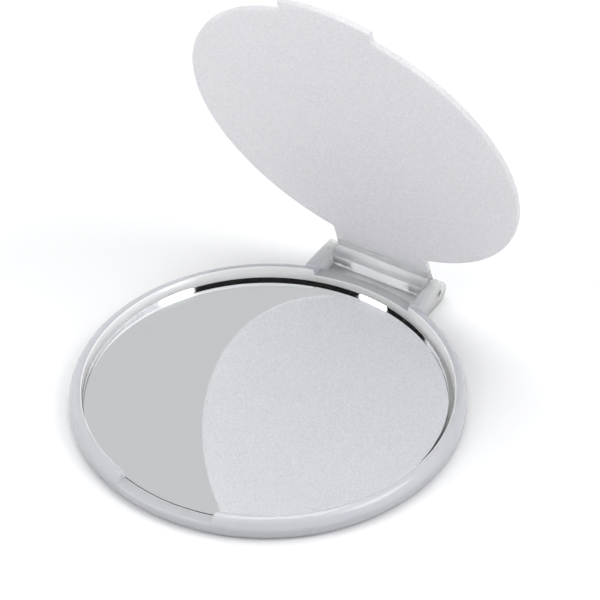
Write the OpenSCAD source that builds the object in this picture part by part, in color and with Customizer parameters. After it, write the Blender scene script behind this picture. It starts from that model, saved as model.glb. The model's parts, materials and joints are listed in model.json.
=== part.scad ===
// Round pocket mirror: a moulded tray that holds a glass mirror, and a thin lid that swings on two pins.
// Millimetres. The origin is the centre of the tray's underside, +Z is up and the hinge is on +Y.

/* [Tray] */
// Outer diameter of the tray
tray_d = 60; // [50:1:90]
// Width of the rim, from the wall of the recess to the outside
rim_w = 1.85; // [1.2:0.05:3]
// Thickness of the floor under the mirror
floor_t = 0.75; // [0.5:0.05:1.5]
// Rounding of the rim's outer shoulder, where the rim is wide enough for it
shoulder_r = 1.6; // [0.5:0.05:2]
// Rounding between the side and the underside
foot_r = 1; // [0.3:0.1:1.3]
// Rounding of the rim's inner edge
brim_r = 0.15; // [0.05:0.05:0.2]

/* [Mirror] */
// Gap between the glass and the wall of the recess, all round when the glass is centred
glass_gap = 0.65; // [0.45:0.05:1.5]
// Thickness of the glass
glass_t = 1.2; // [0.8:0.05:2]
// Thickness of the silvering, drawn thicker than the real film
silver_t = 0.05; // [0.02:0.01:0.08]
// Thickness of the paint behind the silvering
paint_t = 0.05; // [0.02:0.01:0.1]
// How far the double-sided adhesive disc stops short of the glass's edge
adhesive_inset = 2.5; // [0.5:0.5:15]
// Thickness of the adhesive disc
adhesive_t = 0.1; // [0.05:0.05:0.2]
// Ground bevel on the upper edge of the glass
glass_bevel = 0.1; // [0.05:0.05:0.3]
// How far the glass sits off the middle, to the right
glass_off_x = -0.15; // [-0.2:0.05:0.2]
// How far the glass sits off the middle, to the back
glass_off_y = -0.4; // [-0.4:0.05:0.4]

/* [Lid] */
// Thickness of the lid
lid_t = 1.05; // [0.8:0.05:1.3]
// Rounding of the lid's edges
lid_edge_r = 0.2; // [0.05:0.05:0.35]
// Width of the thumb tab
tab_w = 15.6; // [10:0.1:22]
// How far the closed tab stands out past the tray
tab_past = 0.15; // [-0.5:0.05:2]
// How far the lid stands open, in degrees from closed
open_angle = 72.7; // [0:0.1:180]

/* [Hinge] */
// Width of the lid's neck and knuckle
neck_w = 16.4; // [12:0.1:24]
// Thickness of each ear
ear_t = 1.75; // [1.5:0.05:3]
// How far the ears' round ends stay above the table
ear_lift = 0.1; // [0.05:0.05:0.2]
// How far the knuckle's round back stays above the table
knuckle_lift = 0.2; // [0.1:0.05:0.4]
// How far the knuckle's square corner stays above the table with the lid closed
corner_lift = 0.35; // [0.25:0.05:0.8]
// Reach of the knuckle's square corner from the axis, towards the lid
knuckle_reach = 2.1; // [1.8:0.1:2.4]
// Distance from the outside of the tray to the hinge axis
axis_back = 3.8; // [3:0.1:6]
// Diameter of each hinge pin
pin_d = 1.2; // [0.8:0.1:1.4]
// How far each pin reaches into the knuckle
pin_reach = 2.9; // [2:0.1:5]
// How far each pin's head is sunk in its ear
pin_sunk = 0.25; // [0.1:0.05:0.6]

/* [Clearances] */
// Gap between the closed lid and the wall of the recess
lid_gap = 0.2; // [0.1:0.05:0.4]
// Gap between the glass and the closed lid
cover_gap = 0.3; // [0.1:0.05:1]
// Gap between the closed lid and the notch that it lies over
rest_gap = 0.05; // [0.02:0.01:0.15]
// Gap at each side of the tab in its notch
tab_gap = 0.3; // [0.2:0.05:0.6]
// Gap at each end of the knuckle between the ears
end_gap = 0.3; // [0.1:0.05:0.5]
// Running clearance around each pin in the knuckle
run_gap = 0.05; // [0.02:0.01:0.1]
// Gap under the lid when it is folded right back to lie on the table
lay_gap = 0.4; // [0.3:0.05:0.8]
// Space left past the end of each pin in its bore
bore_gap = 0.2; // [0.1:0.1:0.6]

/* [Hidden] */
$fn = 120;
over = 1;                                        // how far a cut runs past the face that it opens
tray_r = tray_d / 2;
recess_r = tray_r - rim_w;
lid_r = recess_r - lid_gap;
tab_r = tray_r + tab_past;
adhesive_z = floor_t;
paint_z = adhesive_z + adhesive_t;
silver_z = paint_z + paint_t;
glass_z = silver_z + silver_t;
glass_d = 2 * (recess_r - glass_gap);
adhesive_d = glass_d - 2 * adhesive_inset;
lid_z = glass_z + glass_t + cover_gap;           // inner face of the closed lid
notch_z = lid_z - rest_gap;
rim_h = lid_z + lid_t;                           // the crest is flush with the closed lid
shoulder = min(shoulder_r, rim_w - brim_r);
axis_y = tray_r + axis_back;
axis_z = (rim_h + lay_gap) / 2;                  // halfway between the lid closed and the lid folded right back
ear_r = axis_z - ear_lift;
knuckle_r = axis_z - knuckle_lift;
ear_in = neck_w / 2 + end_gap;
ear_out = ear_in + ear_t;
ear_root_r = tray_r - rim_w / 2;                 // the ears grow out of the outer half of the rim
pin_in = neck_w / 2 - pin_reach;
pin_out = ear_out - pin_sunk;
plastic = [0.87, 0.88, 0.90];

// What a corner loses when it is rounded: the corner is at the origin, and the solid lies towards (sx, sy).
module corner_waste(r, sx, sy) {
    scale([sx, sy]) difference() {
        translate([-over, -over]) square(r + over);
        translate([r, r]) circle(r);
    }
}

// The rim's section in radius and height, from the recess to the outside.
module rim_section() {
    difference() {
        translate([recess_r, 0]) square([rim_w, rim_h]);
        translate([tray_r, rim_h]) corner_waste(shoulder, -1, -1);
        translate([tray_r, 0]) corner_waste(foot_r, -1, 1);
        translate([recess_r, rim_h]) corner_waste(brim_r, 1, -1);
    }
}

// A bar along X from x0 to x1, made from a section drawn in Y and Z.
module along_x(x0, x1) {
    translate([x0, 0, 0]) rotate([90, 0, 90]) linear_extrude(x1 - x0) children();
}

// One ear's outline in Y and Z: a lug from the rim to the round end about the axis.
module ear_section() {
    translate([axis_y, axis_z]) circle(ear_r);
    translate([0, axis_z - ear_r]) square([axis_y, 2 * ear_r]);
}

// Both ears, cut back to where they leave the rim.
module ears() {
    difference() {
        for (side = [0, 1]) mirror([side, 0, 0]) along_x(ear_in, ear_out) ear_section();
        translate([0, 0, -over]) cylinder(r = ear_root_r, h = rim_h + ear_r + 2 * over);
    }
}

// A slot across the rim, from the recess outwards: dir is 1 at the hinge and -1 at the tab.
module rim_notch(width, dir) {
    y0 = dir > 0 ? 0 : -tray_r - over;
    translate([-width / 2, y0, notch_z]) cube([width, tray_r + over, rim_h]);
}

module pin_hole(x0, x1, d) {
    translate([x0, axis_y, axis_z]) rotate([0, 90, 0]) cylinder(d = d, h = x1 - x0);
}

module base_tray() color(plastic) {
    difference() {
        union() {
            cylinder(r = recess_r + rim_w / 4, h = floor_t);
            rotate_extrude($fn = 240) rim_section();
            ears();
        }
        rim_notch(tab_w + 2 * tab_gap, -1);
        rim_notch(2 * ear_in, 1);
        pin_hole(-ear_out - over, ear_out + over, pin_d);
    }
}

// One flat disc of the mirror, with its middle where the glass is glued.
module mirror_disc(d, z, t) {
    translate([glass_off_x, glass_off_y, z]) cylinder(d = d, h = t, $fn = 240);
}

module mirror_adhesive() color([0.93, 0.92, 0.86]) mirror_disc(adhesive_d, adhesive_z, adhesive_t);

module mirror_backing_paint() color([0.35, 0.37, 0.40]) mirror_disc(glass_d, paint_z, paint_t);

module mirror_silvering() color([0.80, 0.82, 0.83]) mirror_disc(glass_d, silver_z, silver_t);

module mirror_glass() color([0.75, 0.86, 0.82]) {
    mirror_disc(glass_d, glass_z, glass_t - glass_bevel);
    translate([glass_off_x, glass_off_y, glass_z + glass_t - glass_bevel])
        cylinder(d1 = glass_d, d2 = glass_d - 2 * glass_bevel, h = glass_bevel, $fn = 240);
}

// The pin at x > 0.
module hinge_pin() {
    color([0.62, 0.63, 0.65]) pin_hole(pin_in, pin_out, pin_d);
}

module hinge_pin_left() mirror([1, 0, 0]) hinge_pin();

module hinge_pin_right() hinge_pin();

// A round plate of radius r as thick as the lid, with its edges rounded.
module lid_plate(r) {
    translate([0, 0, lid_z]) rotate_extrude($fn = 240) difference() {
        square([r, lid_t]);
        translate([r, 0]) corner_waste(lid_edge_r, -1, 1);
        translate([r, lid_t]) corner_waste(lid_edge_r, -1, -1);
    }
}

module tab() {
    intersection() {
        lid_plate(tab_r);
        translate([-tab_w / 2, -tray_d, 0]) cube([tab_w, tray_d, 2 * rim_h]);
    }
}

// The knuckle's outline in Y and Z with the lid closed: round behind, square towards the lid.
module knuckle_section() {
    translate([axis_y, axis_z]) circle(knuckle_r);
    translate([axis_y - knuckle_reach, corner_lift]) square([knuckle_reach, rim_h - corner_lift]);
}

// The neck's outline in Y and Z, from well inside the plate to the axis.
module neck_section() {
    translate([lid_r / 2, lid_z]) square([axis_y - lid_r / 2, lid_t]);
}

module lid_closed() {
    difference() {
        union() {
            lid_plate(lid_r);
            tab();
            along_x(-neck_w / 2, neck_w / 2) union() {
                knuckle_section();
                neck_section();
            }
        }
        for (side = [0, 1]) mirror([side, 0, 0])
            pin_hole(pin_in - bore_gap, neck_w / 2 + over, pin_d + 2 * run_gap);
    }
}

module lid() color(plastic) {
    translate([0, axis_y, axis_z]) rotate([-open_angle, 0, 0]) translate([0, -axis_y, -axis_z]) lid_closed();
}

base_tray();
mirror_adhesive();
mirror_backing_paint();
mirror_silvering();
mirror_glass();
hinge_pin_left();
hinge_pin_right();
lid();
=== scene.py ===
# %% [markdown]
# # A round pocket mirror
# The real thing has three visible pieces: a moulded tray with a round glass mirror glued into it, and a
# thin round lid that swings on two short steel pins. Tray and lid are the same milky, finely frosted
# plastic, and everything else that one sees is in how that plastic and the glass bend the light. So the
# shapes here are kept exact, with a true glass disc over a true silver film, and the plastic lets light
# through.

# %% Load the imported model: every piece below takes its place from it
import json

import bmesh
import bpy
import numpy as np
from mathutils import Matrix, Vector


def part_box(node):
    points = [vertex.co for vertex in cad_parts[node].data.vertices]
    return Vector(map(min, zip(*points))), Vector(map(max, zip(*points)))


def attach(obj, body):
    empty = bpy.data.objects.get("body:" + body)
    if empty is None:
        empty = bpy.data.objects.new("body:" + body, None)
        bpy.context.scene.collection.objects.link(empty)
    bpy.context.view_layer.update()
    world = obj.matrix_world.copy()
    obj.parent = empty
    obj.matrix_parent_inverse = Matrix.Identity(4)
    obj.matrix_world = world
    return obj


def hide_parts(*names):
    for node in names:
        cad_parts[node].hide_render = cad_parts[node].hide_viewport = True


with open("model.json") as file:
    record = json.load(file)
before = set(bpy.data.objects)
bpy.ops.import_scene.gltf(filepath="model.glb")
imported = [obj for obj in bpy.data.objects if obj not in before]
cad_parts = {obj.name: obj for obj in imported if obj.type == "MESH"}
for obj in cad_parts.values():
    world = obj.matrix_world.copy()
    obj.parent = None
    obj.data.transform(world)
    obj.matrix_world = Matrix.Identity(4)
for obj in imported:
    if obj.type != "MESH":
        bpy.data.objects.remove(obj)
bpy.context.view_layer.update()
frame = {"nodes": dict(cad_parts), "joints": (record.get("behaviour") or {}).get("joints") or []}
MM = 0.001


# %% [markdown]
# ## Sizes
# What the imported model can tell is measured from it: the outside of the tray, the glass, the hinge axis
# and how far the lid stands open. The rest are the few sizes that a box can't give, in millimetres.

# %% Sizes
tray_high = np.array(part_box("base_tray")[1]) / MM
glass_low, glass_high = (np.array(corner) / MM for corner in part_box("mirror_glass"))
hinge = next(j for j in frame["joints"] if j["name"] == "lid_hinge")
AXIS = np.array(hinge["pos_m"]) / MM              # a point on the hinge axis, which runs along X
OPEN = -hinge["range_deg"][0]                     # degrees that the lid has turned from closed
TRAY_R = tray_high[0]
GLASS_R = (glass_high[0] - glass_low[0]) / 2
GLASS_AT = (glass_low + glass_high) / 2
FLOOR_T = 0.75                                    # the tray's floor
RIM_W = 1.85                                      # the rim's width, from the recess wall to the outside
RECESS_R = TRAY_R - RIM_W
LID_T = 1.05                                      # the lid's thickness
LID_Z = glass_high[2] + 0.3                       # inner face of the closed lid, clear of the glass
CREST_Z = LID_Z + LID_T                           # the rim's top, level with the closed lid's outside
LID_R = RECESS_R - 0.2                            # the closed lid lies in the recess with this gap
TAB_W = 15.6                                      # the thumb tab's width
TAB_R = TRAY_R + 0.15                             # the tab reaches this far past the tray
NOTCH_Z = LID_Z - 0.05                            # the notches' floor, just under the closed lid
NOTCH_GAP = 0.3                                   # beside the tab in the front notch
NECK_W = 16.4                                     # width of the neck and of the knuckle
EAR_IN = NECK_W / 2 + 0.3                         # inner faces of the ears, clear of the neck
EAR_OUT = EAR_IN + 1.75                           # and their outer faces
EAR_R = AXIS[2] - 0.1                             # the ears end this far above the table
KNUCKLE_R = AXIS[2] - 0.2                         # the knuckle turns this far above the table
PIN_R = 0.6
PIN_SUNK = 0.25                                   # how deep the pins' ends lie in the ears
DIMPLE_R = PIN_R + 0.03                           # the dimples in the ears that show the pins' ends
BORE_R = PIN_R + 0.05                             # the bores in the knuckle, which turns about the pins
BORE_DEEP = 3.1                                   # and how deep they go
print("tray radius", round(TRAY_R, 2), "glass radius", round(GLASS_R, 2), "crest", round(CREST_Z, 2))


# %% [markdown]
# ## Surfaces from grids
# Each new piece is worked out as a grid of points: one direction runs along a profile, and the other
# round the piece or along it. A grid becomes a mesh in one step, and rows that shrink to a point are
# merged, which closes the pole. Curved corners are arcs in the profile itself, so they catch the light as
# a moulded edge does.

# %% From a grid of points to a mesh
def grid_mesh(name, points, closed=True):
    """Makes a mesh from points[row, column], in millimetres, with a quad between neighbours.

    With closed, the last column joins the first. Points that meet are merged."""
    rows, columns = points.shape[:2]
    index = np.arange(rows * columns).reshape(rows, columns)
    right = np.roll(index, -1, axis=1) if closed else index[:, 1:]
    left = index if closed else index[:, :-1]
    quads = np.stack([left[:-1], left[1:], right[1:], right[:-1]], axis=-1).reshape(-1, 4)
    mesh = bpy.data.meshes.new(name)
    mesh.vertices.add(rows * columns)
    mesh.vertices.foreach_set("co", (points * MM).reshape(-1).astype(np.float32))
    mesh.loops.add(quads.size)
    mesh.loops.foreach_set("vertex_index", quads.reshape(-1).astype(np.int32))
    mesh.polygons.add(len(quads))
    mesh.polygons.foreach_set("loop_start", np.arange(0, quads.size, 4, dtype=np.int32))
    mesh.update(calc_edges=True)
    mesh.validate()
    return merged(mesh)


def merged(mesh, apart=0.002 * MM):
    """Merges the points of a mesh that lie closer than apart, and turns its faces to point outwards."""
    b = bmesh.new()
    b.from_mesh(mesh)
    bmesh.ops.remove_doubles(b, verts=b.verts, dist=apart)
    bmesh.ops.dissolve_degenerate(b, edges=b.edges, dist=apart)
    bmesh.ops.recalc_face_normals(b, faces=b.faces)
    b.to_mesh(mesh)
    b.free()
    return mesh


def place(name, mesh, body, material, replaces=(), sharp=40):
    """Puts a mesh into the scene as a finished piece that rides on a body and stands for CAD nodes."""
    mesh.shade_smooth()
    mesh.set_sharp_from_angle(angle=np.radians(sharp))
    mesh.materials.clear()
    mesh.materials.append(material)
    piece = bpy.data.objects.new(name, mesh)
    bpy.context.scene.collection.objects.link(piece)
    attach(piece, body)
    if replaces:
        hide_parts(*replaces)
    print(f"{name}: {len(mesh.vertices)} points, {len(mesh.polygons)} faces")


# %% Arcs, rounded outlines and easing
def arc(centre, radius, start, end, steps):
    """Points on a circle: centre + radius * (cos a, sin a), with a from start to end, in degrees."""
    a = np.radians(np.linspace(start, end, steps))
    return np.array(centre) + radius * np.stack([np.cos(a), np.sin(a)], axis=1)


def fillet(before, corner, after, radius, steps=7):
    """The arc of that radius that touches both sides of a corner, from the side that comes before it."""
    before, corner, after = map(np.array, (before, corner, after))
    u = (before - corner) / np.linalg.norm(before - corner)
    w = (after - corner) / np.linalg.norm(after - corner)
    half = np.arccos(np.clip(u @ w, -1, 1)) / 2
    middle = (u + w) / np.linalg.norm(u + w)
    centre = corner + middle * radius / np.sin(half)
    t = np.linspace(-1, 1, steps)[:, None] * (np.pi / 2 - half)
    side = (w - u) / np.linalg.norm(w - u)
    return centre - radius * (np.cos(t) * middle - np.sin(t) * side)


def ease(x, start, end):
    """0 before start, 1 after end and a smooth S between: 3t^2 - 2t^3 with t the share of the way."""
    t = np.clip((x - start) / (end - start), 0, 1)
    return t * t * (3 - 2 * t)


def soft_min(a, b, blend):
    """The lower of two heights, with a round fillet about as wide as blend where they cross."""
    gap = np.maximum(blend - np.abs(a - b), 0)
    return np.minimum(a, b) - gap * gap / (4 * blend)


# %% [markdown]
# ## The tray
# One moulding: a thin floor, and a raised rim whose outside rolls over in a large round. A notch at the
# front lets the lid's tab down, and another at the back lets the neck through, between two ears that hold
# the pins. Cutting notches with a boolean would leave knife edges, so each notch is part of the formula:
# the rim's height is lowered where a column of the grid passes through it.

# %% The rim's columns
EDGE = 0.25                                       # how far along the rim a notch's end wall takes to rise
SHOULDER = 1.6                                    # radius of the rim's large outer round
FOOT = 1.0                                        # radius where the outside meets the underside
BRIM = 0.15                                       # radius of the rim's inner edge
FRONT_HALF = TAB_W / 2 + NOTCH_GAP                # half the width of the front notch
BACK_HALF = EAR_IN                                # and of the back notch
NEAR_NOTCH = (11, 15)                             # X on the rim: all straight columns, and all spokes
ON_RIM = (22, 26.5)                               # radius: all spokes, and all straight columns


def rim_columns():
    """The angles of the grid's columns, from +Y towards +X: every degree, and many at each notch end."""
    even = np.radians(np.arange(0, 360, 1.0))
    near = np.linspace(-0.7 * EDGE, 0.7 * EDGE, 15)
    at_back = np.arcsin((BACK_HALF + near) / TRAY_R)
    at_front = np.arcsin((FRONT_HALF + near) / TRAY_R)
    extra = np.concatenate([at_back, -at_back, np.pi - at_front, np.pi + at_front]) % (2 * np.pi)
    apart = np.abs(even[:, None] - extra).min(axis=1)
    return np.sort(np.concatenate([even[apart > 0.004], extra]))


def place_round(r, columns):
    """Points at radius r on each column.

    Near the notches a column keeps its own X at every radius, so that the notches' end walls are straight
    across the rim. Elsewhere, and inside the recess, it is a plain spoke."""
    line_x = TRAY_R * np.sin(columns)
    straight = (1 - ease(np.abs(line_x), *NEAR_NOTCH)) * ease(r, *ON_RIM)
    x = r * np.sin(columns)
    x = x + straight * (np.clip(line_x, -r, r) - x)
    y = np.sign(np.cos(columns)) * np.sqrt(np.maximum(r * r - x * x, 0))
    return x, y


# %% The tray's surface
def tray_surface():
    """Rows run along the section: over the floor, up the recess wall, over the rim and back under.

    The rim's height at a column is the crest's, less the notch's depth times an S across the end wall."""
    columns = rim_columns()
    x_edge = np.abs(TRAY_R * np.sin(columns))
    half = np.where(np.cos(columns) > 0, BACK_HALF, FRONT_HALF)
    inside = 1 - ease(x_edge, half - EDGE / 2, half + EDGE / 2)
    crest = CREST_Z - (CREST_Z - NOTCH_Z) * inside
    blend = 0.12                                  # the fillet where the notch's floor meets the shoulder
    ceiling = CREST_Z + blend - (CREST_Z + blend - NOTCH_Z) * inside
    one = np.ones_like(columns)
    base = 0.3                                    # radius where the floor meets the recess wall
    low = FLOOR_T + base
    on_floor = (0, 2, 6, 11, 16, 20, 22, 24, 25.5, 26.5, RECESS_R - base)
    rows = [(r * one, FLOOR_T * one) for r in on_floor]
    for r, z in arc((RECESS_R - base, low), base, -90, 0, 6)[1:]:
        rows.append((r * one, z * one))
    for t in (0.3, 0.6, 0.85, 0.95):
        rows.append((RECESS_R * one, low + t * (crest - BRIM - low)))
    for r, z in arc((RECESS_R + BRIM, -BRIM), BRIM, 180, 90, 7):
        rows.append((r * one, crest + z))
    top = arc((TRAY_R - SHOULDER, CREST_Z - SHOULDER), SHOULDER, 90, 0, 28)
    for r, z in top:
        rows.append((r * one, soft_min(z * one, ceiling, blend)))
    for r, z in arc((TRAY_R - FOOT, FOOT), FOOT, 0, -90, 14):
        rows.append((r * one, z * one))
    rows += [(r * one, 0 * one) for r in (28, 26, 20, 12, 5, 0)]
    points = [np.stack([*place_round(r, columns), z], axis=-1) for r, z in rows]
    return np.array(points)


tray_mesh = grid_mesh("tray", tray_surface()[:, ::-1])


# %% [markdown]
# Each ear is a lug along X: an outline in Y and Z, carried from the ear's inner face to its outer face
# with its edges rounded. The two faces are closed by rows that shrink to a point. The ears and the rim
# are then joined into one skin, because in a clear plastic a hidden face inside would show.

# %% A block with rounded edges
def block(outline, x0, x1, edge, steps=5):
    """Carries a closed outline in (y, z) along X from x0 to x1.

    Each end is a quarter round: as a goes from 0 to 90 degrees, the outline moves in by
    edge * (1 - sin a) and its plane by edge * (1 - cos a). The ends' faces shrink to the middle."""
    ahead, behind = np.roll(outline, -1, axis=0), np.roll(outline, 1, axis=0)
    along = (ahead - behind) / np.linalg.norm(ahead - behind, axis=1, keepdims=True)
    inward = np.stack([-along[:, 1], along[:, 0]], axis=1)
    area = np.sum(outline[:, 0] * ahead[:, 1] - outline[:, 1] * ahead[:, 0])
    inward *= np.sign(area)
    middle = outline.mean(axis=0)
    a = np.radians(np.linspace(0, 90, steps))
    shift, step_in = edge * (1 - np.cos(a)), edge * (1 - np.sin(a))
    face = outline + inward * edge
    rows = [(x0, middle + (face - middle) * t) for t in (0, 0.4, 0.8)]
    rows += [(x0 + s, outline + inward * i) for s, i in zip(shift, step_in)]
    rows += [(x1 - s, outline + inward * i) for s, i in zip(shift[::-1], step_in[::-1])]
    rows += [(x1, middle + (face - middle) * t) for t in (0.8, 0.4, 0)]
    grid = np.zeros((len(rows), len(outline), 3))
    for row, (x, yz) in zip(grid, rows):
        row[:, 0] = x
        row[:, 1:] = yz
    return grid


def rod(x0, x1, radius, sides=48):
    """A round bar along the hinge axis, as a block whose outline is a circle."""
    return block(arc(AXIS[1:], radius, 0, 360, sides + 1)[:-1], x0, x1, edge=0.02, steps=3)


def ear_outline():
    """A lug from inside the rim to a round end about the hinge axis, its upper inner corner eased."""
    low, high = AXIS[2] - EAR_R, AXIS[2] + EAR_R
    root = RECESS_R - 0.9                         # where the lug begins, inside the rim
    end = arc(AXIS[1:], EAR_R, -90, 90, 33)
    ease_in = fillet((AXIS[1], high), (root, high), (root, low), 0.3)
    floor = np.stack([np.linspace(root, AXIS[1], 9)[:-1], np.full(8, low)], axis=1)
    roof = np.stack([np.linspace(AXIS[1], root + 0.3, 9)[1:-1], np.full(7, high)], axis=1)
    return np.concatenate([floor, end, roof, ease_in])


# %% Join and cut with booleans
def combined(base, others, operation):
    """Joins other meshes to a base mesh, or cuts them from it, with booleans, and gives the new mesh."""
    holder = bpy.data.objects.new("holder", base)
    bpy.context.scene.collection.objects.link(holder)
    tools = []
    for mesh in others:
        tool = bpy.data.objects.new("tool", mesh)
        bpy.context.scene.collection.objects.link(tool)
        modifier = holder.modifiers.new("step", "BOOLEAN")
        modifier.operation = operation
        modifier.solver = "MANIFOLD"
        modifier.object = tool
        tools.append(tool)
    graph = bpy.context.evaluated_depsgraph_get()
    result = bpy.data.meshes.new_from_object(holder.evaluated_get(graph), depsgraph=graph)
    for thing in (holder, *tools):
        bpy.data.objects.remove(thing)
    return result


def pair(name, make, x0, x1):
    """Two meshes of a surface that goes from x0 to x1: the one on the right, and the one on the left."""
    return [grid_mesh(name, make(a, b)) for a, b in ((x0, x1), (-x1, -x0))]


ears = pair("ear", lambda a, b: block(ear_outline(), a, b, edge=0.18), EAR_IN, EAR_OUT)
dimples = pair("dimple", lambda a, b: rod(a, b, DIMPLE_R), EAR_OUT - PIN_SUNK, EAR_OUT + 1)
tray_mesh = combined(tray_mesh, ears, "UNION")
tray_mesh = combined(tray_mesh, dimples, "DIFFERENCE")


# %% [markdown]
# ## The lid
# A plate a millimetre thick. Its outline is a circle with the thumb tab at the front and the neck at the
# back. The plate is that outline carried round a small edge radius, and shrunk to the middle on both
# faces. The knuckle is a block whose section is round behind and square towards the lid. Both are made as
# the lid lies when it is closed, and the finished lid is turned about the hinge axis to where it stands
# open.

# %% The lid's outline
def half_outline():
    """The outline for X > 0, from the middle of the tab round to the middle of the neck's end."""
    half_tab, half_neck = TAB_W / 2, NECK_W / 2

    def on_circle(radius, x):
        """How far from the X axis the circle is at x: sqrt(r^2 - x^2)."""
        return np.sqrt(radius * radius - x * x)

    def sweep(radius, start, end, steps):
        """An arc about the lid's middle, with the angle measured from the front."""
        return arc((0, 0), radius, start - 90, end - 90, steps)

    tab_end = np.degrees(np.arcsin((half_tab - 0.5) / TAB_R))
    tab_out = (half_tab, -on_circle(TAB_R, half_tab))
    tab_in = (half_tab, -on_circle(LID_R, half_tab))
    side_start = np.degrees(np.arcsin((half_tab + 0.6) / LID_R))
    side_end = 180 - np.degrees(np.arcsin((half_neck + 0.8) / LID_R))
    neck_in = (half_neck, on_circle(LID_R, half_neck))
    neck_end = AXIS[1] - 1.3                      # inside the knuckle
    side = sweep(LID_R, side_start, side_end, 220)
    tip = sweep(TAB_R, 0, tab_end, 22)
    return np.concatenate([
        tip,
        fillet(tip[-1], tab_out, tab_in, 0.35),
        fillet(tab_out, tab_in, side[0], 0.3),
        side,
        fillet(side[-1], neck_in, (half_neck, neck_end), 0.45),
        fillet(neck_in, (half_neck, neck_end), (0, neck_end), 0.7),
        np.stack([np.linspace(half_neck - 1, 0, 16), np.full(16, neck_end)], axis=1),
    ])


def plate(outline, low, high, edge, steps=6):
    """A flat plate with rounded edges: a block whose X, along which it was carried, is turned into Z."""
    return block(outline, low, high, edge, steps)[:, :, [1, 2, 0]]


right = half_outline()
lid_outline = np.concatenate([right, right[-2:0:-1] * (-1, 1)])
plate_mesh = grid_mesh("plate", plate(lid_outline, LID_Z, CREST_Z, edge=0.2))


# %% The knuckle, and the bores for the pins
KNUCKLE_REACH = 2.1                               # from the axis to the knuckle's square front
CORNER_Z = 0.35                                   # height of its lower front corner when closed


def knuckle_outline():
    """Round behind the axis and square in front, with a ramp from the lid's outer face to the back."""
    y, z = AXIS[1:]
    front = y - KNUCKLE_REACH
    back = arc((y, z), KNUCKLE_R, -75, 80, 33)
    foot = (front, CORNER_Z)
    head = (front, CREST_Z)
    return np.concatenate([
        back,
        fillet(back[-1], head, foot, 0.1, 5),
        np.stack([np.full(6, front), np.linspace(CREST_Z - 0.3, CORNER_Z + 0.4, 6)], axis=1),
        fillet(head, foot, back[0], 0.14, 6),
    ])


knuckle_mesh = grid_mesh("knuckle", block(knuckle_outline(), -NECK_W / 2, NECK_W / 2, edge=0.12))
bores = pair("bore", lambda a, b: rod(a, b, BORE_R), NECK_W / 2 - BORE_DEEP, NECK_W / 2 + 1)
lid_mesh = combined(plate_mesh, [knuckle_mesh], "UNION")
lid_mesh = combined(lid_mesh, bores, "DIFFERENCE")


def turned_open(mesh):
    """Turns a mesh about the hinge axis by the angle at which the lid stands open."""
    points = np.empty(len(mesh.vertices) * 3, np.float32)
    mesh.vertices.foreach_get("co", points)
    p = points.reshape(-1, 3).astype(float) - AXIS * MM
    a = -np.radians(OPEN)
    y = p[:, 1] * np.cos(a) - p[:, 2] * np.sin(a)
    z = p[:, 1] * np.sin(a) + p[:, 2] * np.cos(a)
    p = np.stack([p[:, 0], y, z], axis=1) + AXIS * MM
    mesh.vertices.foreach_set("co", p.reshape(-1).astype(np.float32))
    mesh.update()
    return mesh


lid_mesh = turned_open(lid_mesh)


# %% [markdown]
# ## The mirror
# A pocket mirror is silvered behind the glass. From the front one looks through the glass at the film,
# and near the far edge one sees the cut edge from inside, where it reflects like a mirror itself: that is
# the thin dark ring. It only appears if the glass is a real solid with a real refractive index, so the
# glass is a disc with a small chamfer round its top, and it reaches a hair into the silver film under it,
# so that no air lies between.

# %% The glass disc
def glass_surface():
    """A profile carried round the disc's middle: flat top, small chamfer, cut edge and flat base."""
    chamfer = 0.04
    sunk = 0.006                                  # the base reaches this far into the silver film
    low, high = glass_low[2] - sunk, glass_high[2]
    profile = [(r, high) for r in (0, 9, 18, GLASS_R - chamfer)]
    profile += [(GLASS_R, high - chamfer), (GLASS_R, low + sunk)]
    profile += [(r, low) for r in (GLASS_R - sunk, 18, 9, 0)]
    a = np.radians(np.arange(0, 360, 1.0))
    grid = [[r * np.cos(a) + GLASS_AT[0], r * np.sin(a) + GLASS_AT[1], z + 0 * a] for r, z in profile]
    return np.moveaxis(np.array(grid), 1, -1)


glass_mesh = grid_mesh("glass", glass_surface()[:, ::-1])


# %% [markdown]
# ## Materials
# One small function adds a node with its settings and links, and one turns the sRGB hex values that a
# colour picker gives into the linear numbers that Blender works in. The short ones after them add what
# the materials need again and again: a blend, a product, the place on the piece, noise and a distance.

# %% Helpers for materials
def linear(hex_colour):
    """sRGB hex to linear RGBA: c / 12.92 below 0.04045, else ((c + 0.055) / 1.055) ** 2.4."""
    c = np.array([int(hex_colour[i:i + 2], 16) for i in (1, 3, 5)]) / 255
    c = np.where(c <= 0.04045, c / 12.92, ((c + 0.055) / 1.055) ** 2.4)
    return (*c, 1.0)


def add(tree, kind, settings=None, inputs=None):
    """Adds a node, sets its properties, and sets its inputs: an input given as a socket is linked."""
    node = tree.nodes.new(kind)
    for key, value in (settings or {}).items():
        setattr(node, key, value)
    for key, value in (inputs or {}).items():
        if isinstance(value, bpy.types.NodeSocket):
            tree.links.new(value, node.inputs[key])
        else:
            node.inputs[key].default_value = value
    return node


def eased(tree, value, start, end, before=0.0, after=1.0):
    """A value that is before until start, after from end on, and follows an S between them."""
    node = add(tree, "ShaderNodeMapRange", {"interpolation_type": "SMOOTHSTEP"}, {
        "Value": value, "From Min": start, "From Max": end, "To Min": before, "To Max": after})
    return node.outputs["Result"]


def ranged(tree, value, start, end, before=0.0, after=1.0):
    """The same along a straight line."""
    node = add(tree, "ShaderNodeMapRange", inputs={
        "Value": value, "From Min": start, "From Max": end, "To Min": before, "To Max": after})
    return node.outputs["Result"]


def product(tree, a, b):
    """The product of two values."""
    return add(tree, "ShaderNodeMath", {"operation": "MULTIPLY"}, {0: a, 1: b}).outputs["Value"]


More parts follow.
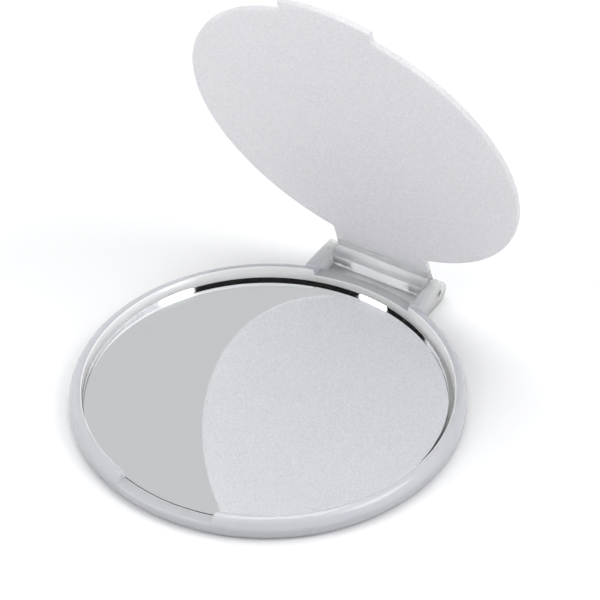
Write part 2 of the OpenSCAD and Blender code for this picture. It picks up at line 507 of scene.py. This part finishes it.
def mixed(tree, share, a, b):
    """Colour a, and colour b where the share is 1."""
    node = add(tree, "ShaderNodeMix", {"data_type": "RGBA"}, {"Factor": share, "A": a, "B": b})
    return node.outputs["Result"]


def places(tree):
    """The place on the piece, in metres from the origin."""
    return add(tree, "ShaderNodeTexCoord").outputs["Object"]


def noise(tree, size, detail):
    """Soft noise whose spots are about size millimetres across."""
    node = add(tree, "ShaderNodeTexNoise", inputs={
        "Vector": places(tree), "Scale": 1 / (size * MM), "Detail": detail})
    return node.outputs["Fac"]


def stretched_noise(tree, sizes, detail):
    """Soft noise whose spots are so many millimetres long in X, Y and Z."""
    scaled = add(tree, "ShaderNodeMapping", inputs={
        "Vector": places(tree), "Scale": [1 / (size * MM) for size in sizes]})
    node = add(tree, "ShaderNodeTexNoise", inputs={
        "Vector": scaled.outputs["Vector"], "Scale": 1.0, "Detail": detail})
    return node.outputs["Fac"]


def distance_from(tree, axis, kept):
    """Millimetres from an axis: kept is 1 for the directions that count, and 0 for the axis's own."""
    kept = np.array(kept)
    off = add(tree, "ShaderNodeVectorMath", {"operation": "MULTIPLY_ADD"}, {
        0: places(tree), 1: kept / MM, 2: -kept * axis}).outputs["Vector"]
    return add(tree, "ShaderNodeVectorMath", {"operation": "LENGTH"}, {0: off}).outputs["Value"]


def new_material(name):
    """An empty node material, with its output ready, and its shader left to the caller."""
    material = bpy.data.materials.new(name)
    material.use_nodes = True
    material.node_tree.nodes.clear()
    output = add(material.node_tree, "ShaderNodeOutputMaterial")
    return material, material.node_tree, output


# %% [markdown]
# ### Milky polystyrene
# Both mouldings are a clear polystyrene with a little white in it. Light goes in, scatters and comes out
# some way off, so thin parts glow and edges look waxy. The mould was blasted where the lid's plate is,
# which gives a fine matt grain, and polished for the tray and at the hinge, which stay glossy. The grain
# is drawn a quarter of a millimetre across.
# The hinge and the inside of the recess are painted whiter: painted light that lifts the shade there.

# %% Milky polystyrene
HINGE_ZONE = (2.0, 7.0)                           # from the hinge axis: all hinge, and all body
RECESS_ZONE = (RECESS_R + 0.02, RECESS_R + 0.22)  # from the tray's axis: all recess, and all rim
GRAIN = 0.25                                      # how wide the grain is drawn
GRAIN_DEPTH = 0.01                                # and how deep
HINGE_ROUGHNESS = 0.2
PAINTED_LIGHT_WHITE = "#F8F9FB"                                # painted light: a whiter colour that lifts the shade at the hinge and in the recess
CLEAR_IN_RECESS = 0.15                            # the share of the rim's transmission that is left there


def milky_polystyrene(name, colour, specks, matt, clear, clear_at_hinge, deep, recess):
    """Scattering plastic with a share of clear transmission, which changes towards the hinge axis.

    matt is its roughness, clear its share of transmission, and deep how far light goes, in millimetres.
    With specks, a second colour, it has the grain of a blasted mould. Near the hinge, and with recess
    also
    inside the tray, it is painted whiter: painted light that lifts the shade there."""
    material, tree, output = new_material(name)
    from_hinge = distance_from(tree, AXIS, (0, 1, 1))
    away = eased(tree, from_hinge, *HINGE_ZONE)
    through = eased(tree, from_hinge, *HINGE_ZONE, clear_at_hinge, clear)
    body, inputs = linear(colour), {}
    if specks:
        grain = noise(tree, GRAIN, 2.0)
        body = mixed(tree, ranged(tree, grain, 0.35, 0.65), linear(specks), body)
        bump = add(tree, "ShaderNodeBump", inputs={
            "Height": grain, "Strength": away, "Distance": GRAIN_DEPTH * MM})
        inputs["Normal"] = bump.outputs["Normal"]
    if recess:
        from_middle = distance_from(tree, np.zeros(3), (1, 1, 0))
        away = product(tree, away, eased(tree, from_middle, *RECESS_ZONE))
        through = product(tree, through, eased(tree, from_middle, *RECESS_ZONE, CLEAR_IN_RECESS, 1.0))
    # the base colour is painted whiter near the hinge and in the recess, as painted light over their
    # shade
    shader = add(tree, "ShaderNodeBsdfPrincipled", inputs={
        "Base Color": mixed(tree, away, linear(PAINTED_LIGHT_WHITE), body),
        "Roughness": eased(tree, from_hinge, *HINGE_ZONE, HINGE_ROUGHNESS, matt),
        "IOR": 1.59,
        "Transmission Weight": through,
        "Subsurface Weight": 1.0,
        "Subsurface Radius": (1.0, 1.0, 1.08),
        "Subsurface Scale": deep * MM, **inputs})
    tree.links.new(shader.outputs["BSDF"], output.inputs["Surface"])
    return material


# %% [markdown]
# ### Glass, silver, paint, adhesive and steel
# The glass has a polished face and a cut edge. The wheel left fine lines along the edge, so the ring that
# one sees there isn't a clean band: it breaks into glints. The silver is a clean mirror with hardly any
# haze. What lies behind it shows only if the mirror is taken out, and has the tone and the unevenness of
# the real thing.

# %% Glass and silver
CUT_EDGE = (GLASS_R - 0.06, GLASS_R - 0.03)       # from the disc's axis: all face, and all edge


def float_glass():
    """Clear float glass, index 1.52. The cut edge's lines are noise stretched round the disc, as a bump
    that begins just inside the edge.

    A grey specular tint keeps the top face's own reflection weak beside the black ring."""
    material, tree, output = new_material("float_glass")
    at_edge = ranged(tree, distance_from(tree, GLASS_AT, (1, 1, 0)), *CUT_EDGE)
    bump = add(tree, "ShaderNodeBump", inputs={
        "Height": stretched_noise(tree, (3, 3, 0.2), 3.0), "Strength": at_edge, "Distance": 0.004 * MM})
    shader = add(tree, "ShaderNodeBsdfPrincipled", inputs={
        "Base Color": linear("#FDFFFE"), "Roughness": 0.0, "IOR": 1.52, "Transmission Weight": 1.0,
        "Specular Tint": linear("#404341"), "Normal": bump.outputs["Normal"]})
    tree.links.new(shader.outputs["BSDF"], output.inputs["Surface"])
    return material


def silver_film():
    """Vapour-deposited metal behind the glass: a mirror a little below white, with a very faint haze."""
    material, tree, output = new_material("silver_film")
    haze = ranged(tree, noise(tree, 6, 2.0), 0.0, 1.0, 0.0, 0.012)
    shader = add(tree, "ShaderNodeBsdfPrincipled", inputs={
        "Base Color": linear("#FAFAFB"), "Metallic": 1.0, "Roughness": haze})
    tree.links.new(shader.outputs["BSDF"], output.inputs["Surface"])
    return material


# %% Paint, adhesive and steel
def uneven(name, one, other, size, detail, roughness):
    """A dull material whose colour wanders between two tones, in spots about size millimetres across."""
    material, tree, output = new_material(name)
    tone = mixed(tree, noise(tree, size, detail), linear(one), linear(other))
    shader = add(tree, "ShaderNodeBsdfPrincipled", inputs={"Base Color": tone, "Roughness": roughness})
    tree.links.new(shader.outputs["BSDF"], output.inputs["Surface"])
    return material


def backing_lacquer():
    """The grey lacquer that protects the silver: sprayed, so slightly uneven, and half matt."""
    return uneven("grey_backing_lacquer", "#4E5257", "#5D6267", size=0.8, detail=4.0, roughness=0.55)


def adhesive_foil():
    """Double-sided adhesive foil: off-white and dull, with the fleck of its paper core."""
    return uneven("adhesive_foil", "#E2DFD3", "#F1EFE6", size=0.5, detail=5.0, roughness=0.8)


def drawn_steel():
    """Bright drawn steel wire: its lines run along the pin, so the noise is stretched along X."""
    material, tree, output = new_material("drawn_steel")
    lines = stretched_noise(tree, (4, 0.06, 0.06), 2.0)
    shader = add(tree, "ShaderNodeBsdfPrincipled", inputs={
        "Base Color": linear("#B9BBBE"), "Metallic": 1.0,
        "Roughness": ranged(tree, lines, 0.0, 1.0, 0.18, 0.38)})
    tree.links.new(shader.outputs["BSDF"], output.inputs["Surface"])
    return material


# %% Put the pieces in place
tray_plastic = milky_polystyrene("milky_polystyrene_tray", "#DEDFE9", None, matt=0.1, clear=0.48,
                                 clear_at_hinge=0.5, deep=5, recess=True)
lid_plastic = milky_polystyrene("milky_polystyrene_lid", "#F3F2F6", "#DDDCE2", matt=0.45, clear=0.42,
                                clear_at_hinge=0.75, deep=4, recess=False)
place("tray", tray_mesh, "base", tray_plastic, replaces=["base_tray"])
place("lid_moulding", lid_mesh, "lid", lid_plastic, replaces=["lid"])
place("glass_disc", glass_mesh, "base", float_glass(), replaces=["mirror_glass"], sharp=20)

steel = drawn_steel()
carried = {"mirror_silvering": silver_film(), "mirror_backing_paint": backing_lacquer(),
           "mirror_adhesive": adhesive_foil(), "hinge_pin_left": steel, "hinge_pin_right": steel}
for node, material in carried.items():
    frame["nodes"][node].data.materials.clear()
    frame["nodes"][node].data.materials.append(material)


# %% [markdown]
# ## Studio
# A white table is lit so brightly that it burns out. The room is pale all round, a little greyer where
# the mirror looks, with a narrow dark band on the camera's side that gives the glass its black ring.
# Three soft boxes give the highlights.

# %% Camera
def way_to(azimuth, elevation):
    """The direction (sin a cos e, -cos a cos e, sin e), with a from -Y towards +X, both in degrees."""
    a, e = np.radians((azimuth, elevation))
    return np.array([np.sin(a) * np.cos(e), -np.cos(a) * np.cos(e), np.sin(e)])


def set_up_camera(azimuth, elevation, roll, lens, distance, aim):
    """A camera that looks at aim from so many millimetres away, with its lens for a 36 mm sensor."""
    camera = bpy.data.objects.new("camera", bpy.data.cameras.new("camera"))
    bpy.context.scene.collection.objects.link(camera)
    camera.data.lens = lens
    camera.data.sensor_width = 36
    camera.data.clip_start = 0.01
    back = way_to(azimuth, elevation)
    camera.location = Vector((np.array(aim) + distance * back) * MM)
    camera.rotation_euler = Vector(back).to_track_quat("Z", "Y").to_euler()
    camera.rotation_euler.rotate_axis("Z", np.radians(roll))
    bpy.context.scene.camera = camera


set_up_camera(azimuth=31.94, elevation=40.21, roll=-0.29, lens=246.5, distance=620,
              aim=(-1.24, 11.13, 11.95))


# %% Table
def table_top(half=2500, below=0.02):
    """A wide flat plane a hair under the tray, in matt white."""
    corners = [[(x, y, -below) for x in (-half, half)] for y in (-half, half)]
    mesh = grid_mesh("table", np.array(corners, float), closed=False)
    material, tree, output = new_material("matt_white_table")
    shader = add(tree, "ShaderNodeBsdfPrincipled", inputs={
        "Base Color": linear("#E0E0E0"), "Roughness": 0.9})
    tree.links.new(shader.outputs["BSDF"], output.inputs["Surface"])
    mesh.materials.append(material)
    table = bpy.data.objects.new("table", mesh)
    bpy.context.scene.collection.objects.link(table)


table_top()


# %% Room: bright all round, greyer where the mirror looks, and a dark band on the camera's side
def room(middle=-9, strength=1.15):
    """The sky's colour depends on direction only.

    One measure is the height z, the sine of the elevation. The other is the cosine of the level angle
    from the middle of the camera's side."""
    world = bpy.data.worlds.new("studio")
    bpy.context.scene.world = world
    world.use_nodes = True
    tree = world.node_tree
    tree.nodes.clear()
    way = add(tree, "ShaderNodeTexCoord").outputs["Generated"]
    parts = add(tree, "ShaderNodeSeparateXYZ", inputs={"Vector": way})
    flat = add(tree, "ShaderNodeCombineXYZ", inputs={"X": parts.outputs["X"], "Y": parts.outputs["Y"]})
    level = add(tree, "ShaderNodeVectorMath", {"operation": "NORMALIZE"}, {0: flat.outputs["Vector"]})
    towards = add(tree, "ShaderNodeVectorMath", {"operation": "DOT_PRODUCT"}, {
        0: level.outputs["Vector"], 1: way_to(middle, 0)}).outputs["Value"]
    height = parts.outputs["Z"]

    def between(low, from_low, to_high, high):
        """1 for heights in the middle, falling to 0 at low and at high."""
        return product(tree, eased(tree, height, low, from_low), eased(tree, height, high, to_high))

    side_from, side_to = np.cos(np.radians((93, 85)))  # the dark band fills the half on the camera's side
    behind = product(tree, eased(tree, towards, -0.3, -0.55), between(0.3, 0.45, 0.8, 0.88))
    low_front = product(tree, eased(tree, towards, 0.2, 0.7), eased(tree, height, 0.55, 0.4))
    dark = product(tree, eased(tree, towards, side_from, side_to), between(0.55, 0.59, 0.7, 0.74))
    tone = mixed(tree, behind, linear("#F4F5F6"), linear("#BDBEC0"))
    tone = mixed(tree, low_front, tone, linear("#EFF0F2"))
    tone = mixed(tree, dark, tone, linear("#030403"))
    sky = add(tree, "ShaderNodeBackground", inputs={"Color": tone, "Strength": strength})
    output = add(tree, "ShaderNodeOutputWorld")
    tree.links.new(sky.outputs["Background"], output.inputs["Surface"])


room()


# %% Soft boxes
def soft_box(name, azimuth, elevation, width, height, power, distance=450):
    """A rectangular lamp that faces the mirror. Sizes are in millimetres."""
    way = way_to(azimuth, elevation)
    light = bpy.data.lights.new(name, "AREA")
    light.shape = "RECTANGLE"
    light.size, light.size_y = width * MM, height * MM
    light.energy = power
    lamp = bpy.data.objects.new(name, light)
    bpy.context.scene.collection.objects.link(lamp)
    lamp.location = Vector(way * distance * MM)
    lamp.rotation_euler = Vector(way).to_track_quat("Z", "Y").to_euler()
    lamp.visible_camera = False


soft_box("overhead", 222, 78, 250, 250, power=0.62)
soft_box("right_box", 104, 50, 270, 180, power=0.6)
soft_box("left_box", -43.5, 45, 118, 140, power=0.3)
bpy.context.scene.view_settings.view_transform = "Standard"
